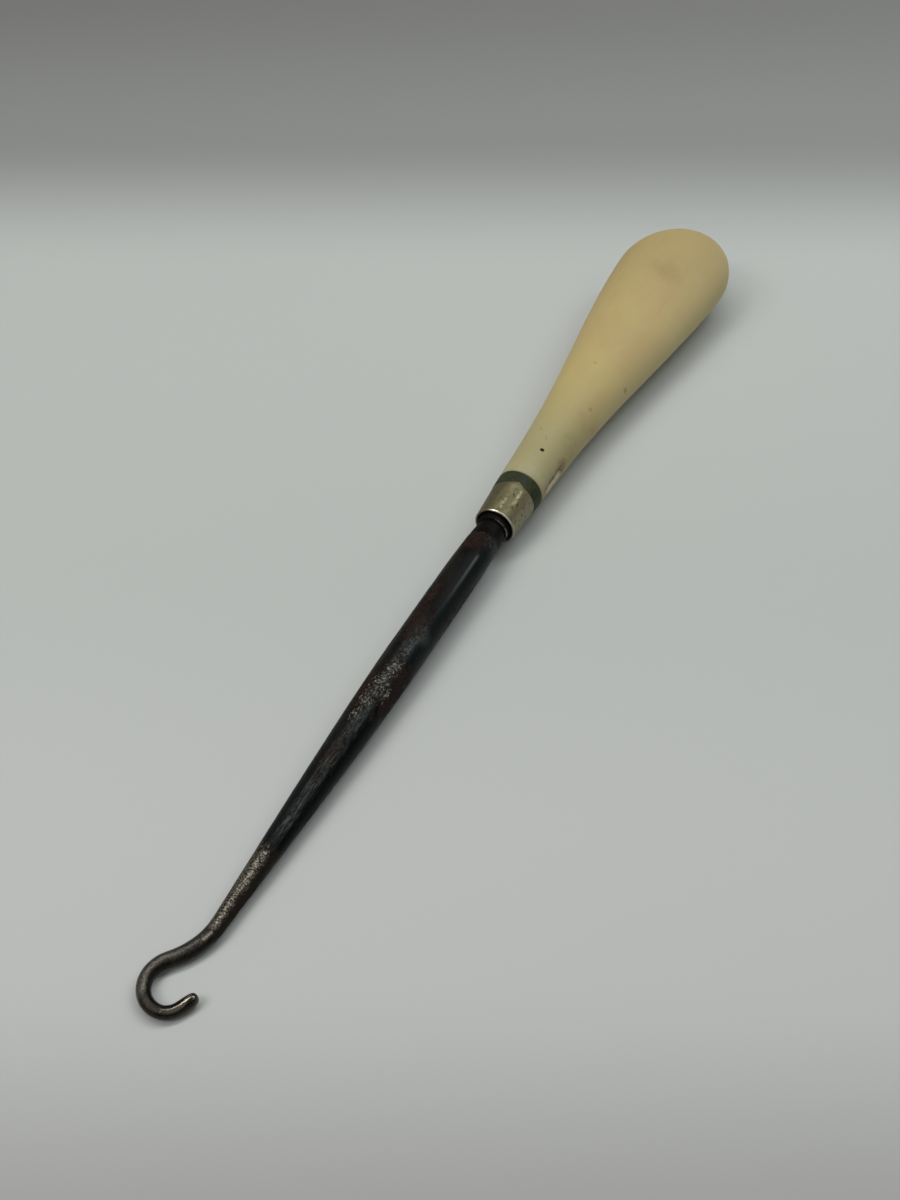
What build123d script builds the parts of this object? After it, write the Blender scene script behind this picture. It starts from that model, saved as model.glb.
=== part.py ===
"""Button hook: an oval, pear-shaped handle, a dyed band, a thin metal ferrule
and a forged steel hook whose shank ends in a round crook.

The tool lies as it rests on a table: the belly of the handle and the far end
of the crook touch z = 0. +X runs from the butt to the crook, +Z is up, and the
origin is on the table under the middle of the tool.
"""
from build123d import *
from math import atan2, cos, radians, sin, sqrt
import os

os.makedirs("parts", exist_ok=True)

# ---- Driving dimensions (mm) ------------------------------------------------
# Stations are distances along the tool's axis, from the butt.

# Handle. It is widest where the domed butt ends, narrows to a waist, and is
# round where the band seats on it.
handle_length = 89.8
dome_length = 15.5
belly_width = 23.0
belly_thickness = 15.7
belly_width_slope = 0.04        # how fast the half width shrinks past the belly
belly_thickness_slope = 0.06
waist_station = 70.0
waist_width = 10.8
waist_thickness = 10.3
waist_width_slope = 0.085
waist_thickness_slope = 0.05
neck_diameter = 8.54
neck_slope = 0.045
butt_lean = 1.1                 # the butt sits off the shank's axis, towards +Y
bore_diameter = 3.4             # blind hole for the tang
bore_end_gap = 2.0              # the hole goes on past the end of the tang
spigot_diameter = 6.2           # carries the band and centres the ferrule
spigot_setback = 2.25           # the spigot stops short of the ferrule's mouth

# Band: a ring between the handle's shoulder and the ferrule.
band_length = 2.9
band_front_diameter = 8.26

# Ferrule: a tapered sleeve with a bead round its open mouth and a low peak in
# its rear edge, at the seam.
ferrule_length = 7.15
ferrule_wall = 0.42
ferrule_rear_diameter = 8.2
ferrule_mouth_diameter = 7.32
bead_diameter = 0.48
seam_peak = 0.45
seam_turn = 13.0                # degrees from the top, towards +Y
seat_clearance = 0.04           # between the spigot and the band that slides on it

# Hook: tang, collar, tapered shank, stem and crook in one forging.
tool_length = 200.0
collar_clearance = 0.34         # radial gap to the ferrule's open mouth
collar_thickness = 0.95         # the part inside the mouth
collar_bevel = 1.05             # the bevelled part that stands out of the mouth
collar_edge_diameter = 5.34
root_diameter = 5.16            # the shank just past the collar's edge
root_slope = 0.07
shank_diameter = 6.16
swell_length = 17.35            # from the ferrule's mouth to the parallel stretch
parallel_length = 14.0
stem_diameter = 2.4
stem_slope = 0.045
mid_taper_diameter = 4.8        # half way along the taper
tip_diameter = 1.8
tang_length = 48.0
tang_root_width = 2.2
tang_end_width = 1.4

# Crook: the stem turns aside, then comes round in the opposite direction.
aside_radius = 10.3
aside_turn = 45.0
crook_radius = 3.9
nose_radius = 2.6
nose_turn = 65.0
tip_run = 1.9

# ---- Stations that follow from them -----------------------------------------

ferrule_start = handle_length + band_length
mouth_station = ferrule_start + ferrule_length
spigot_end = mouth_station - spigot_setback
tang_end = mouth_station - collar_thickness - tang_length
tip_radius = tip_diameter / 2
stem_radius = stem_diameter / 2

# The wire keeps tapering round the crook, so its size at the far end follows
# from how much of its length it has run by then.
aside_run = aside_radius * radians(aside_turn)
crook_run = crook_radius * radians(90 + aside_turn)
nose_run = nose_radius * radians(nose_turn)
wire_run = aside_run + crook_run + nose_run + tip_run
far_share = (aside_run + crook_run) / wire_run
far_wire_radius = stem_radius + (tip_radius - stem_radius) * far_share
far_station = tool_length - far_wire_radius
crook_reach = (aside_radius + crook_radius) * sin(radians(aside_turn)) + crook_radius
stem_end = far_station - crook_reach
shank_start = mouth_station + collar_bevel
parallel_start = mouth_station + swell_length
parallel_end = parallel_start + parallel_length


def blended(station, start, end, value, end_value, slope, end_slope):
    """A cubic that leaves value at slope and meets end_value at end_slope."""
    run = end - start
    share = (station - start) / run
    rest = 1 - share
    return (
        value * rest * rest * (1 + 2 * share)
        + end_value * share * share * (3 - 2 * share)
        + slope * run * share * rest * rest
        - end_slope * run * share * share * rest
    )


def handle_half(station, belly, belly_slope, waist, waist_slope):
    """Half width or half thickness of the handle at a station."""
    if station <= dome_length:
        return belly / 2 * sqrt(max(0.0, 1 - (1 - station / dome_length) ** 2))
    if station <= waist_station:
        return blended(
            station, dome_length, waist_station, belly / 2, waist / 2, -belly_slope, -waist_slope
        )
    return blended(
        station, waist_station, handle_length, waist / 2, neck_diameter / 2, -waist_slope, -neck_slope
    )


def half_width(station):
    return handle_half(station, belly_width, belly_width_slope, waist_width, waist_width_slope)


def half_thickness(station):
    return handle_half(
        station, belly_thickness, belly_thickness_slope, waist_thickness, waist_thickness_slope
    )


def lean(station):
    """Sideways offset of the handle's middle line from the shank's axis."""
    return butt_lean * (1 - station / handle_length) ** 2


# ---- How the tool lies ------------------------------------------------------
# The axis dips towards the crook, because the belly is thicker than the wire.

contact_run = far_station - dome_length
tilt = atan2(belly_thickness / 2 - far_wire_radius, contact_run)
butt_height = max(
    station * sin(tilt) + half_thickness(station) * cos(tilt)
    for station in (dome_length * step / 20 for step in range(10, 31))
)
tool_plan = Plane(
    origin=(-tool_length * cos(tilt) / 2, -lean(dome_length), butt_height),
    x_dir=(cos(tilt), 0, -sin(tilt)),
    z_dir=(sin(tilt), 0, cos(tilt)),
)
tool_axis = Axis(tool_plan.origin, tool_plan.x_dir)


def section_plane(station, aside=0.0):
    """A plane across the tool: its x runs along +Y, its normal along the tool."""
    return Plane(
        origin=tool_plan.from_local_coords(Vector(station, aside, 0)),
        x_dir=tool_plan.y_dir,
        z_dir=tool_plan.x_dir,
    )


# ---- Handle -----------------------------------------------------------------

dome_angles = (12, 26, 40, 54, 67, 79)
dome_stations = [dome_length * (1 - cos(radians(angle))) for angle in dome_angles]
body_spans = 9
body_stations = [
    dome_length + (handle_length - dome_length) * step / body_spans
    for step in range(body_spans + 1)
]

outlines = [Vertex(*tool_plan.from_local_coords(Vector(0, lean(0), 0)))]
for station in dome_stations + body_stations:
    with BuildSketch(section_plane(station, lean(station))) as outline:
        Ellipse(half_width(station), half_thickness(station))
    outlines.append(outline.sketch)

with BuildPart() as handle:
    loft(sections=outlines)
    with BuildSketch(section_plane(handle_length)):
        Circle(spigot_diameter / 2)
    extrude(amount=spigot_end - handle_length)
    with BuildSketch(section_plane(tang_end - bore_end_gap)):
        Circle(bore_diameter / 2)
    extrude(amount=spigot_end - tang_end + bore_end_gap, mode=Mode.SUBTRACT)
handle.part.label = "handle"
export_step(handle.part, "parts/handle.step")

# ---- Band and ferrule -------------------------------------------------------
# The two rings meet along one edge. Its low peak is a triangle, seen from
# above the seam, by which the ferrule is longer and the band shorter.


def ferrule_outer(station):
    share = (station - ferrule_start) / ferrule_length
    return (ferrule_rear_diameter * (1 - share) + ferrule_mouth_diameter * share) / 2


def ferrule_inner(station):
    return ferrule_outer(station) - ferrule_wall


seam_plan = Plane(
    origin=tool_plan.origin,
    x_dir=tool_plan.x_dir,
    z_dir=tool_plan.z_dir * cos(radians(seam_turn)) + tool_plan.y_dir * sin(radians(seam_turn)),
)
peak_start = ferrule_start - seam_peak
peak_half_width = band_front_diameter / 2
peak_corners = [
    (peak_start, 0),
    (ferrule_start, peak_half_width),
    (ferrule_start, -peak_half_width),
]

with BuildPart() as band:
    with BuildSketch(tool_plan) as band_profile:
        with BuildLine():
            Polyline(
                (handle_length, spigot_diameter / 2 + seat_clearance),
                (handle_length, neck_diameter / 2),
                (ferrule_start, band_front_diameter / 2),
                (ferrule_start, spigot_diameter / 2 + seat_clearance),
                close=True,
            )
        make_face()
    revolve(axis=tool_axis)
    with BuildSketch(seam_plan):
        with BuildLine():
            Polyline(*peak_corners, close=True)
        make_face()
    extrude(amount=band_front_diameter, mode=Mode.SUBTRACT)
band.part.label = "band"
export_step(band.part, "parts/band.step")

with BuildPart() as ferrule:
    with BuildSketch(tool_plan):
        with BuildLine():
            Polyline(
                (peak_start, ferrule_inner(peak_start)),
                (peak_start, ferrule_outer(peak_start)),
                (mouth_station, ferrule_outer(mouth_station)),
                (mouth_station, ferrule_inner(mouth_station)),
                close=True,
            )
        make_face()
    revolve(axis=tool_axis)
    with BuildSketch(seam_plan):
        with BuildLine():
            Polyline(
                (peak_start - seam_peak, band_front_diameter),
                (peak_start - seam_peak, -band_front_diameter),
                (ferrule_start, -band_front_diameter),
                (ferrule_start, -peak_half_width),
                (peak_start, 0),
                (ferrule_start, peak_half_width),
                (ferrule_start, band_front_diameter),
                close=True,
            )
        make_face()
    extrude(amount=band_front_diameter, mode=Mode.SUBTRACT)
    with BuildSketch(seam_plan):
        with Locations((ferrule_start - seam_peak, 0)):
            Rectangle(2 * seam_peak, 2 * band_front_diameter)
    extrude(amount=-band_front_diameter, mode=Mode.SUBTRACT)
    bead_centre = ferrule_outer(mouth_station) - ferrule_wall / 2
    with BuildSketch(tool_plan):
        with Locations((mouth_station, bead_centre)):
            Circle(bead_diameter / 2)
    revolve(axis=tool_axis)
ferrule.part.label = "ferrule"
export_step(ferrule.part, "parts/ferrule.step")

# ---- Hook -------------------------------------------------------------------

collar_back = mouth_station - collar_thickness
collar_radius = ferrule_inner(mouth_station) - collar_clearance
taper_middle = (parallel_end + stem_end) / 2

with BuildPart() as hook:
    with BuildSketch(tool_plan):
        with BuildLine():
            Polyline(
                (stem_end, stem_radius),
                (stem_end, 0),
                (collar_back, 0),
                (collar_back, collar_radius),
                (mouth_station, collar_radius),
                (shank_start, collar_edge_diameter / 2),
                (shank_start, root_diameter / 2),
            )
            Spline(
                (shank_start, root_diameter / 2),
                (parallel_start, shank_diameter / 2),
                tangents=[(1, root_slope), (1, 0)],
            )
            Line((parallel_start, shank_diameter / 2), (parallel_end, shank_diameter / 2))
            Spline(
                (parallel_end, shank_diameter / 2),
                (taper_middle, mid_taper_diameter / 2),
                (stem_end, stem_radius),
                tangents=[(1, 0), (1, -stem_slope)],
            )
        make_face()
    revolve(axis=tool_axis)
    with BuildSketch(section_plane(tang_end)):
        Rectangle(tang_end_width, tang_end_width)
    with BuildSketch(section_plane(collar_back)):
        Rectangle(tang_root_width, tang_root_width)
    loft()
    with BuildLine(tool_plan) as wire:
        aside = JernArc((stem_end, 0), (1, 0), aside_radius, -aside_turn)
        crook = JernArc(aside @ 1, aside % 1, crook_radius, 90 + aside_turn)
        nose = JernArc(crook @ 1, crook % 1, nose_radius, nose_turn)
        tip = Line(nose @ 1, nose @ 1 + (nose % 1) * tip_run)
    with BuildSketch(Plane(origin=wire.line @ 0, z_dir=wire.line % 0)):
        Circle(stem_radius)
    with BuildSketch(Plane(origin=wire.line @ 1, z_dir=wire.line % 1)):
        Circle(tip_radius)
    sweep(path=wire.line, multisection=True)
    with Locations(tip @ 1):
        Sphere(tip_radius)
hook.part.label = "hook"
export_step(hook.part, "parts/hook.step")

# ---- Cement -----------------------------------------------------------------
# It fills the bore round the tang, the space between spigot and ferrule, and
# the ferrule up to the collar.

with BuildPart() as cement:
    with BuildSketch(tool_plan):
        with BuildLine():
            Polyline(
                (tang_end - bore_end_gap, 0),
                (tang_end - bore_end_gap, bore_diameter / 2),
                (spigot_end, bore_diameter / 2),
                (spigot_end, spigot_diameter / 2),
                (ferrule_start, spigot_diameter / 2),
                (ferrule_start, ferrule_inner(ferrule_start)),
                (collar_back, ferrule_inner(collar_back)),
                (collar_back, 0),
                close=True,
            )
        make_face()
    revolve(axis=tool_axis)
    with BuildSketch(section_plane(tang_end)):
        Rectangle(tang_end_width, tang_end_width)
    with BuildSketch(section_plane(collar_back)):
        Rectangle(tang_root_width, tang_root_width)
    loft(mode=Mode.SUBTRACT)
cement.part.label = "cement"
export_step(cement.part, "parts/cement.step")
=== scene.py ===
from math import atan2, cos, exp, hypot, pi, radians, sin, sqrt

import bmesh
import bpy
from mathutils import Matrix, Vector


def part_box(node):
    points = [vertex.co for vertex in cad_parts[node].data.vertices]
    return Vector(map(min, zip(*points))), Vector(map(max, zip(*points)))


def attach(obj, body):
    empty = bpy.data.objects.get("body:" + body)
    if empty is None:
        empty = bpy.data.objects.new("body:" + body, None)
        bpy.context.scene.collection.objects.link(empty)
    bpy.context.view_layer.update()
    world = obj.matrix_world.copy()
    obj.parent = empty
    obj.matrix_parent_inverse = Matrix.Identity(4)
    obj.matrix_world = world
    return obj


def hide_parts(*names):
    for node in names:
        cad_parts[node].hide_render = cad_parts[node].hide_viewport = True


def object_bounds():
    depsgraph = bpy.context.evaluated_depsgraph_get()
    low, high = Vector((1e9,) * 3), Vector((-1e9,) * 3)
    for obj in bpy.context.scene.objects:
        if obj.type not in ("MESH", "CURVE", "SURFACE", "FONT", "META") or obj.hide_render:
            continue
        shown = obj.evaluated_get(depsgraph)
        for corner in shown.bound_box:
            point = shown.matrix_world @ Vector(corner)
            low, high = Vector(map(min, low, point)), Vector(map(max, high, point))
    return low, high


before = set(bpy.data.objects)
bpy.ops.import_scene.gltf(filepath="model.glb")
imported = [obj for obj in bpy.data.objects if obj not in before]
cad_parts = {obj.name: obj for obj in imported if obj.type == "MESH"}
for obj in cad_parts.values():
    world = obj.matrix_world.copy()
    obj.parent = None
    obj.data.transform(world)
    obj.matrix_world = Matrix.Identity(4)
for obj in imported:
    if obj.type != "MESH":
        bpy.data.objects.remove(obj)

cad_low, cad_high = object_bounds()

# ---- Handle -----------------------------------------------------------------
# Turned and filed from one piece of ivory-coloured celluloid: a flattened pear
# with a domed butt, round at the neck, with a spigot for the two rings and a
# blind hole for the tang. Polished by hand, and chipped beside the band.

mm = 0.001
handle_length = 89.8
dome_length = 15.5
belly_width = 23.0
belly_thickness = 15.7
belly_width_slope = 0.04
belly_thickness_slope = 0.06
waist_station = 70.0
waist_width = 10.8
waist_thickness = 10.3
waist_width_slope = 0.085
waist_thickness_slope = 0.05
neck_diameter = 8.54
neck_slope = 0.045
butt_lean = 1.1
bore_diameter = 3.4
bore_end = 48.9
spigot_diameter = 6.2
spigot_end = 97.6
spigot_edge = 0.15
shoulder_edge = 0.07
handle_sides = 72

# The tool lies dipped towards the crook, because the belly is thicker than
# the wire. Stations are millimetres along its axis, from the butt.
dip = radians(2.148)
axis_height = 8.425 * mm
handle_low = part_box("handle")[0]
ferrule_low, ferrule_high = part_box("ferrule")
butt_point = Vector((handle_low.x, (ferrule_low.y + ferrule_high.y) / 2, axis_height))


def blended(station, start, end, value, end_value, slope, end_slope):
    """A curve that leaves value at slope and meets end_value at end_slope."""
    run = end - start
    share = (station - start) / run
    rest = 1 - share
    return (
        value * rest * rest * (1 + 2 * share)
        + end_value * share * share * (3 - 2 * share)
        + slope * run * share * rest * rest
        - end_slope * run * share * share * rest
    )


def handle_half(station, belly, belly_slope, waist, waist_slope):
    """Half the width or half the thickness of the handle at a station."""
    if station <= dome_length:
        return belly / 2 * sqrt(max(0.0, 1 - (1 - station / dome_length) ** 2))
    if station <= waist_station:
        return blended(
            station, dome_length, waist_station, belly / 2, waist / 2, -belly_slope, -waist_slope
        )
    return blended(
        station, waist_station, handle_length, waist / 2, neck_diameter / 2, -waist_slope, -neck_slope
    )


def handle_ring(station):
    """Station, sideways lean, half width and half thickness of the handle."""
    return (
        station,
        butt_lean * (1 - station / handle_length) ** 2,
        handle_half(station, belly_width, belly_width_slope, waist_width, waist_width_slope),
        handle_half(
            station, belly_thickness, belly_thickness_slope, waist_thickness, waist_thickness_slope
        ),
    )


def round_ring(station, radius):
    """A ring of a part that is round and true to the tool's axis."""
    return (station, 0.0, radius, radius)


def start_piece(name, ring, sides):
    """The first ring of a piece, standing across the tool's axis, in edit mode."""
    bpy.ops.object.select_all(action="DESELECT")
    bpy.ops.mesh.primitive_circle_add(
        vertices=sides, radius=mm, location=(ring[0] * mm, ring[1] * mm, 0), rotation=(0, pi / 2, 0)
    )
    piece = bpy.context.object
    piece.name = name
    piece.data.name = name
    piece.scale = (ring[3], ring[2], 1)
    bpy.ops.object.transform_apply(location=True, rotation=True, scale=True)
    bpy.ops.object.mode_set(mode="EDIT")
    bpy.ops.mesh.select_mode(type="VERT")
    bpy.ops.mesh.select_all(action="SELECT")
    return piece


def draw_out(rings):
    """Extrudes the picked open ring through the other rings, one after another."""
    for before, ring in zip(rings, rings[1:]):
        bpy.ops.mesh.extrude_region_move(
            TRANSFORM_OT_translate={
                "value": ((ring[0] - before[0]) * mm, (ring[1] - before[1]) * mm, 0)
            }
        )
        bpy.ops.transform.resize(
            value=(1, ring[2] / before[2], ring[3] / before[3]),
            center_override=(ring[0] * mm, ring[1] * mm, 0),
        )


def pick(piece, wanted):
    """Picks the vertices whose place passes the test, and nothing else."""
    mesh = bmesh.from_edit_mesh(piece.data)
    for vertex in mesh.verts:
        vertex.select_set(wanted(vertex.co / mm))
    mesh.select_flush(True)
    mesh.select_flush(False)
    bmesh.update_edit_mesh(piece.data)


def leave_edit(smoothing, fineness):
    """Turns the faces outwards, leaves edit mode and subdivides the piece."""
    bpy.ops.mesh.select_all(action="SELECT")
    bpy.ops.mesh.remove_doubles(threshold=0.0005 * mm)
    bpy.ops.mesh.normals_make_consistent(inside=False)
    bpy.ops.object.mode_set(mode="OBJECT")
    piece = bpy.context.object
    smooth = piece.modifiers.new("fineness", "SUBSURF")
    smooth.levels = fineness
    smooth.render_levels = fineness
    bpy.ops.object.modifier_apply(modifier=smooth.name)
    bpy.ops.object.shade_smooth_by_angle(angle=smoothing)


def sink(piece, name, depth, share_at, grain=None):
    """Presses the surface in by up to depth, as far as share_at says, through a grain if given."""
    where = piece.vertex_groups.new(name=name)
    for vertex in piece.data.vertices:
        share = share_at(vertex.co / mm)
        if share > 0.001:
            where.add([vertex.index], min(share, 1.0), "REPLACE")
    press = piece.modifiers.new(name, "DISPLACE")
    press.vertex_group = where.name
    press.direction = "NORMAL"
    press.mid_level = 0
    press.strength = -depth * mm
    if grain is not None:
        press.texture = grain
        press.texture_coords = "LOCAL"
    bpy.ops.object.modifier_apply(modifier=press.name)
    piece.vertex_groups.clear()


def cloudy_grain(name, size, depth=1):
    """A soft uneven grain whose lumps are about size millimetres across."""
    grain = bpy.data.textures.new(name, "CLOUDS")
    grain.noise_scale = size * mm
    grain.noise_depth = depth
    return grain


def everywhere(point):
    """The whole surface."""
    return 1.0


def turn_of(point):
    """How far round the tool a point is, in degrees: 0 on top, 90 towards +Y."""
    return atan2(point.y, point.z) * 180 / pi


def pick_only(piece):
    """Picks one piece, and nothing else."""
    bpy.ops.object.select_all(action="DESELECT")
    piece.select_set(True)
    bpy.context.view_layer.objects.active = piece


def lay_down(piece):
    """Lays a piece from the bench, where its axis is X, down into the tool's place."""
    piece.location = butt_point
    piece.rotation_euler = (0, dip, 0)
    pick_only(piece)
    bpy.ops.object.transform_apply(location=True, rotation=True, scale=True)


bore_radius = bore_diameter / 2
spigot_radius = spigot_diameter / 2
bore = [round_ring(bore_end, bore_radius), round_ring(bore_end + 1.0, bore_radius)]
bore += [round_ring(waist_station, bore_radius), round_ring(spigot_end - 0.2, bore_radius)]
bore += [round_ring(spigot_end, bore_radius + spigot_edge)]
spigot = [round_ring(spigot_end, spigot_radius - spigot_edge)]
spigot += [round_ring(spigot_end - spigot_edge, spigot_radius)]
spigot += [round_ring(handle_length + spigot_edge, spigot_radius)]
spigot += [round_ring(handle_length, spigot_radius + 0.1)]
neck_radius = neck_diameter / 2
shoulder = [round_ring(handle_length, neck_radius - 2 * shoulder_edge)]
shoulder += [round_ring(handle_length, neck_radius - shoulder_edge)]
shoulder += [round_ring(handle_length - shoulder_edge * 0.3, neck_radius - shoulder_edge * 0.3)]
shoulder += [round_ring(handle_length - shoulder_edge, neck_radius)]
body_step = 1.52
body_steps = 48
body = []
for number in range(body_steps):
    station = handle_length - 2 * shoulder_edge - number * body_step
    if station > dome_length + 0.5:
        body.append(handle_ring(station))
dome = [handle_ring(dome_length * (1 - cos(radians(angle)))) for angle in range(90, 5, -6)]
dome += [handle_ring(dome_length * (1 - cos(radians(2.5))))]
handle_rings = bore + spigot + shoulder + body + dome

handle = start_piece("handle_body", handle_rings[0], handle_sides)
bpy.ops.mesh.edge_face_add()
bpy.ops.mesh.select_all(action="SELECT")
draw_out(handle_rings)
bpy.ops.mesh.merge(type="CENTER")
pick(handle, lambda point: point.x < 0.3 and hypot(point.y - butt_lean, point.z) < 0.02)
bpy.ops.transform.translate(value=(-handle_rings[-1][0] * mm, 0, 0))
leave_edit(radians(40), 2)

# The surface wavers a little from the hand polishing. Near the band a crack
# runs from a dark bruise to the band, and a long chip has come off below it.
sink(handle, "hand_polish", 0.05, everywhere, cloudy_grain("hand_polish", 9.0))
crack_start = (81.0, 76.0)
crack_end = (89.9, 86.0)
crack_waves = ((2.1, 1.6), (4.7, 1.1))
crack_stop = handle_length + 0.05
crack_width = 0.16
crack_run_in = 1.5
chip_middle = 85.0
chip_half_length = 3.3
chip_width = 1.7
chip_step = 0.12
bruise_point = Vector((81.6, 4.6, 0.8))
bruise_radius = 0.6


def crack_turn(station):
    """Where the crack is, round the handle, at a station."""
    share = (station - crack_start[0]) / (crack_end[0] - crack_start[0])
    wander = sum(size * sin(station * wave) for wave, size in crack_waves)
    return crack_start[1] + (crack_end[1] - crack_start[1]) * share + wander


def crack_share(point):
    """The crack, which opens over its first stretch and runs to the band."""
    if point.x < crack_start[0] or point.x > crack_stop:
        return 0.0
    gap = radians(turn_of(point) - crack_turn(point.x)) * hypot(point.y, point.z)
    opening = min(1.0, (point.x - crack_start[0]) / crack_run_in)
    return opening * exp(-(gap / crack_width) ** 2)


def chip_share(point):
    """The chip, steep along the crack and shallow on its far side."""
    if point.x > crack_stop:
        return 0.0
    across = radians(turn_of(point) - crack_turn(point.x)) * hypot(point.y, point.z)
    along = (point.x - chip_middle) / chip_half_length
    if across < 0 or abs(along) > 1:
        return 0.0
    width = chip_width * sqrt(1 - along * along)
    if across > width:
        return 0.0
    return (1 - across / width) ** 1.3 * min(1.0, across / chip_step)


sink(handle, "crack", 0.20, crack_share)
sink(handle, "chip", 0.34, chip_share)
sink(handle, "bruise", 0.10, lambda point: exp(-((point - bruise_point).length / bruise_radius) ** 2))

# A pin hole, drilled from above a little behind the band.
pin_hole_aside = 1.15
pin_hole_up = 4.40
pin_hole_point = Vector((82.9, pin_hole_aside, pin_hole_up))
pin_hole_turn = atan2(pin_hole_aside, pin_hole_up)
drill_tip_radius = 0.16
drill_mouth_radius = 0.31
drill_length = 1.6
drill_sink = 0.35
bpy.ops.object.select_all(action="DESELECT")
bpy.ops.mesh.primitive_cone_add(
    vertices=24,
    radius1=drill_tip_radius * mm,
    radius2=drill_mouth_radius * mm,
    depth=drill_length * mm,
    location=(pin_hole_point - Vector((0, sin(pin_hole_turn), cos(pin_hole_turn))) * drill_sink) * mm,
    rotation=(-pin_hole_turn, 0, 0),
)
drill = bpy.context.object
bpy.ops.object.transform_apply(location=True, rotation=True, scale=True)
pick_only(handle)
hole = handle.modifiers.new("pin_hole", "BOOLEAN")
hole.object = drill
hole.operation = "DIFFERENCE"
hole.solver = "EXACT"
bpy.ops.object.modifier_apply(modifier=hole.name)
bpy.data.objects.remove(drill)
bpy.ops.object.shade_smooth_by_angle(angle=radians(40))
lay_down(handle)


def paint(red, green, blue):
    """A colour from red, green and blue out of 255."""
    return [((part / 255 + 0.055) / 1.055) ** 2.4 for part in (red, green, blue)] + [1.0]


# One finish is mixed at a time: the steps below read its place on the tool, and
# go into its tree and its shader.
def start_finish(name):
    """An empty finish, its node tree and its shader."""
    finish = bpy.data.materials.new(name)
    finish.use_nodes = True
    return finish, finish.node_tree, finish.node_tree.nodes["Principled BSDF"]


def step(kind, sockets, **settings):
    """One step of the finish: a node with its settings, values and links."""
    node = tree.nodes.new(kind)
    for name, value in settings.items():
        setattr(node, name, value)
    for socket, value in sockets.items():
        if isinstance(value, bpy.types.NodeSocket):
            tree.links.new(value, node.inputs[socket])
        else:
            node.inputs[socket].default_value = value
    return node


def feed(socket, value):
    """Leads a value into the finish's shader."""
    tree.links.new(value, shader.inputs[socket])


def tool_place():
    """The place on the tool in millimetres: station along it, aside, and up."""
    spot = step("ShaderNodeTexCoord", {})
    return step(
        "ShaderNodeMapping",
        {
            "Vector": spot.outputs["Object"],
            "Location": butt_point,
            "Rotation": (0, dip, 0),
            "Scale": (mm, mm, mm),
        },
        vector_type="TEXTURE",
    ).outputs["Vector"]


def sums(operation, first, second=0.0, clamp=False):
    """Arithmetic between two values."""
    worked = step("ShaderNodeMath", {0: first, 1: second}, operation=operation, use_clamp=clamp)
    return worked.outputs[0]


def both(first, second):
    """As far as both values say."""
    return sums("MULTIPLY", first, second)


def either(first, second):
    """As far as the larger of two values says."""
    return sums("MAXIMUM", first, second)


def gap_to(value, middle):
    """How far a value is from a middle, on either side."""
    return sums("ABSOLUTE", sums("SUBTRACT", value, middle))


def share_of(value, share):
    """A fixed share of a value."""
    return sums("MULTIPLY", value, share)


def bearings():
    """Station, distance aside, and turn round the tool in radians."""
    along, aside, up = step("ShaderNodeSeparateXYZ", {0: place}).outputs
    return along, aside, sums("ARCTAN2", aside, up)


def between(value, start, end):
    """Rises smoothly from 0 at start to 1 at end; end may be below start."""
    low, high = min(start, end), max(start, end)
    risen = step(
        "ShaderNodeMapRange",
        {"Value": value, "From Min": low, "From Max": high},
        interpolation_type="SMOOTHSTEP",
    ).outputs["Result"]
    return risen if end > start else sums("SUBTRACT", 1.0, risen)


def ranged(value, low, high):
    """Takes the middle of a cloudy pattern's values to low and high."""
    return step(
        "ShaderNodeMapRange",
        {"Value": value, "From Min": 0.3, "From Max": 0.7, "To Min": low, "To Max": high},
    ).outputs["Result"]


def mottle(size, stretch=(1, 1, 1), detail=4.0, roughness=0.55, warp=0.0):
    """A cloudy pattern from 0 to 1, its patches about size millimetres across."""
    spread = step(
        "ShaderNodeMapping",
        {"Vector": place, "Scale": tuple(1 / (size * part) for part in stretch)},
    ).outputs["Vector"]
    return step(
        "ShaderNodeTexNoise",
        {"Vector": spread, "Scale": 1.0, "Detail": detail, "Roughness": roughness, "Distortion": warp},
    ).outputs["Fac"]


def vector_step(operation, first, second=(0, 0, 0)):
    """Arithmetic between two places."""
    return step("ShaderNodeVectorMath", {0: first, 1: second}, operation=operation)


def spot_at(point, full, clear):
    """1 within full millimetres of a point, falling to 0 at clear."""
    return between(vector_step("DISTANCE", place, point).outputs["Value"], clear, full)


def tint(share, under, over):
    """One colour laid over another, as far as share says."""
    return step("ShaderNodeMix", {0: share, 6: under, 7: over}, data_type="RGBA").outputs[2]


def coat(under, cover, strength, over):
    """A coat of colour over another, where cover says, at the given strength."""
    return tint(share_of(cover, strength), under, over)


def relief(height, depth, under=None):
    """Fine relief, depth millimetres high, laid over the relief under it."""
    sockets = {"Height": height, "Strength": 1.0, "Distance": depth * mm}
    if under is not None:
        sockets["Normal"] = under
    return step("ShaderNodeBump", sockets).outputs["Normal"]


ivory, tree, shader = start_finish("ivory_celluloid")
place = tool_place()
along, aside, turn = bearings()
clouds = mottle(9.0, stretch=(1.6, 1, 1), detail=3.0)
fibres = mottle(0.55, stretch=(34, 1, 1), detail=3.0, roughness=0.6)
colour = tint(between(clouds, 0.35, 0.65), paint(184, 168, 112), paint(182, 161, 111))
butt_end = between(along, 42.0, 12.0)
colour = coat(colour, butt_end, 0.8, paint(170, 151, 103))
colour = coat(colour, between(fibres, 0.45, 0.75), 0.10, paint(156, 137, 92))
near_band = between(along, 58.0, 84.0)
colour = coat(colour, near_band, 0.85, paint(158, 152, 112))
pale_edge = mottle(2.6, detail=2.0)
pale_edge = both(between(pale_edge, 0.36, 0.62), between(along, 82.0, 88.5))
colour = coat(colour, pale_edge, 0.4, paint(168, 166, 140))
underside = between(sums("ABSOLUTE", turn), 1.8, 2.4)
colour = coat(colour, underside, 0.35, paint(158, 140, 98))
# The side towards +Y is painted paler towards the butt: painted light.
painted_light_side = both(between(turn, 0.7, 1.5), between(turn, 2.4, 1.9))
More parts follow.
